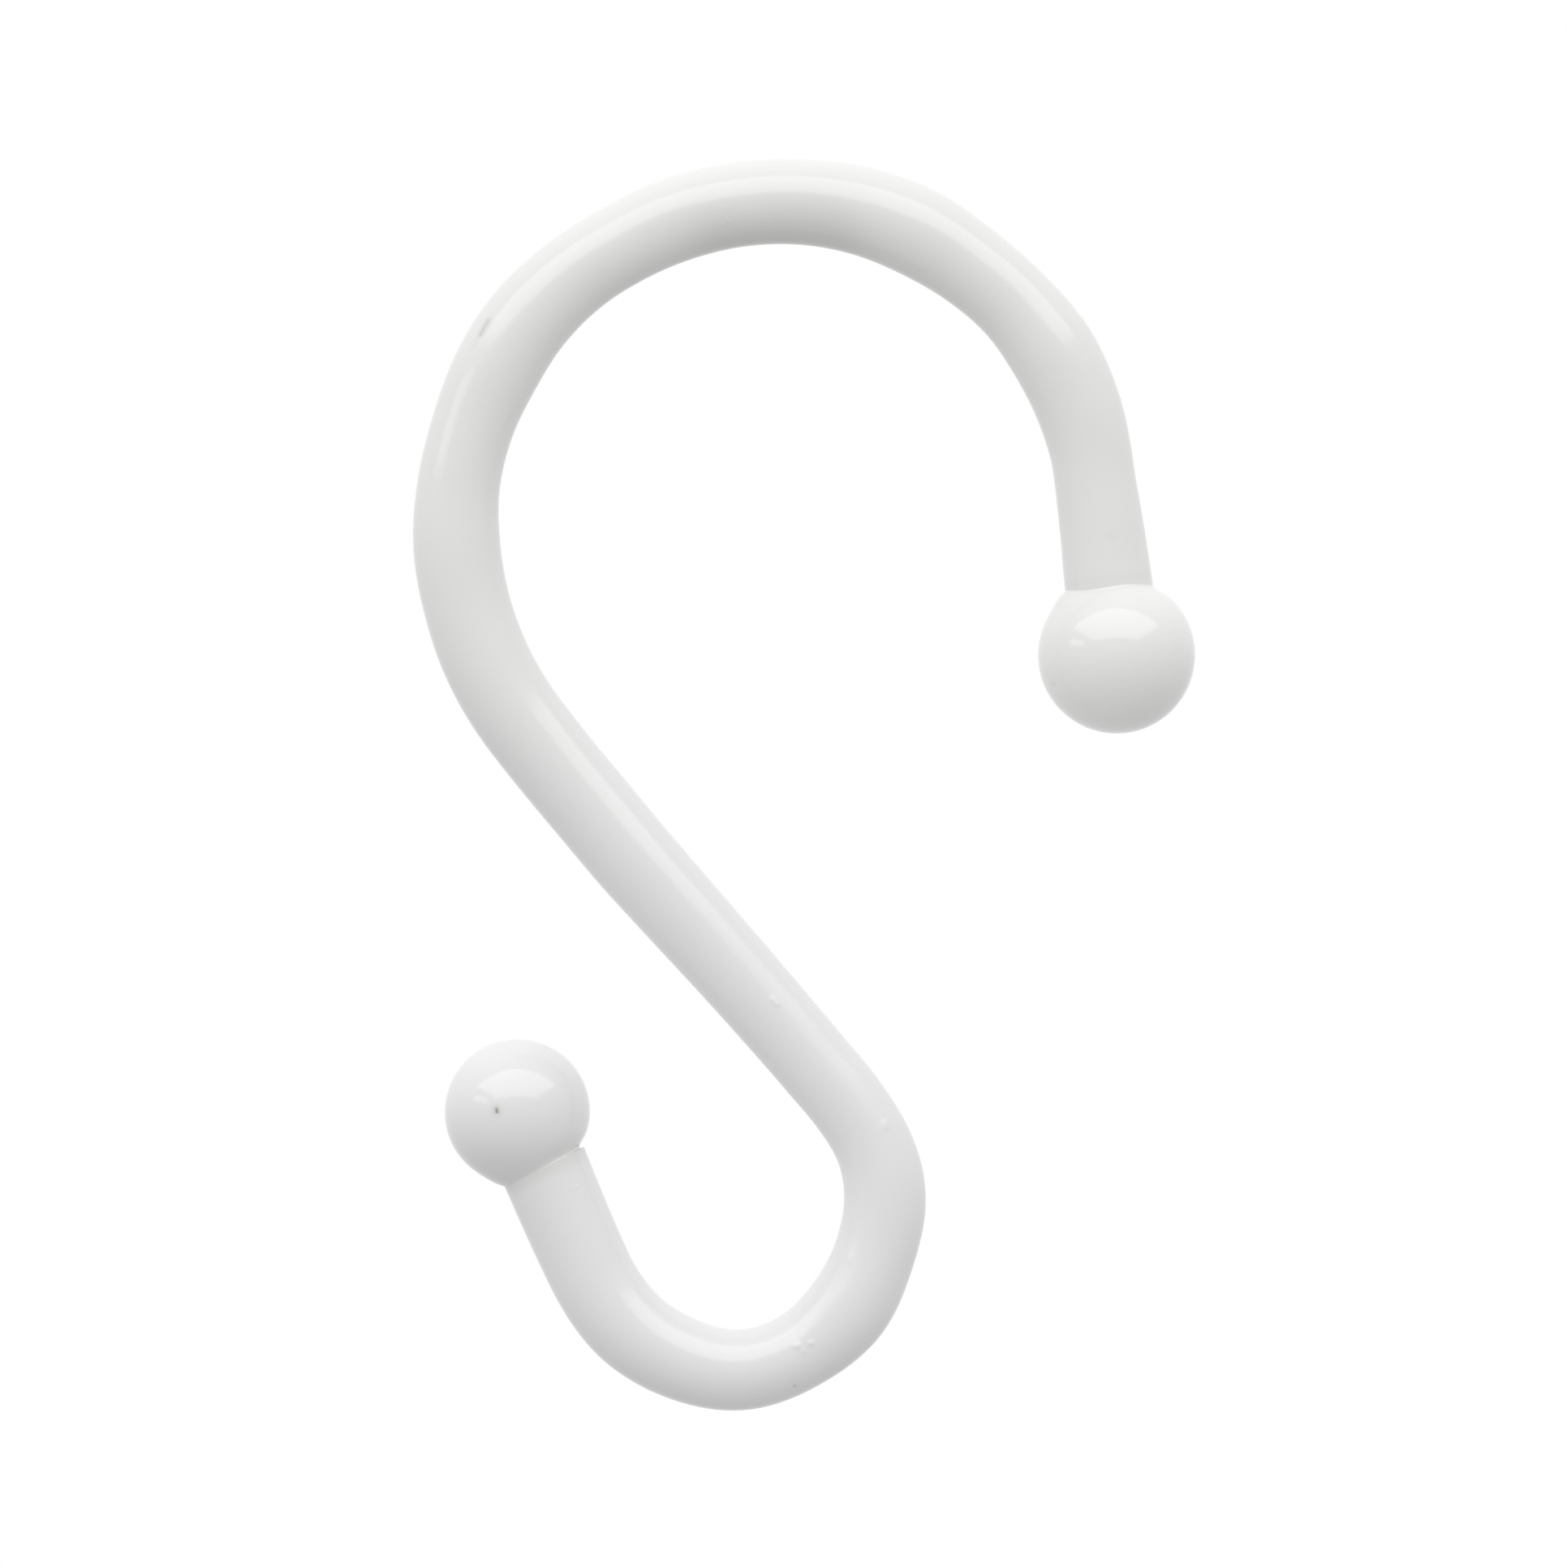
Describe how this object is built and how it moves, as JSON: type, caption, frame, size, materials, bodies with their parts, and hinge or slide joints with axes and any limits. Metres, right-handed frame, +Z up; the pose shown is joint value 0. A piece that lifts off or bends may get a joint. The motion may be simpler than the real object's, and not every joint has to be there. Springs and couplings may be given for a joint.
{
  "type": "s hook",
  "caption": "White coated S hook of bent round rod, with a large loop for a rail, a small loop for the load, and a ball on each end.",
  "frame": {"origin": "inner side of the upper loop at its crown, where the hook sits on its rail", "axes": "+Z up as the hook hangs, +X in the plane of the S towards the upper ball, +Y through the loops, away from the picture's view"},
  "size_m": [0.0464, 0.0092, 0.0744],
  "materials": {
    "white_coat": "gloss white coating over steel"
  },
  "bodies": {
    "root": {"hook_rod": "white_coat", "upper_ball": "white_coat", "lower_ball": "white_coat"}
  },
  "joints": []
}
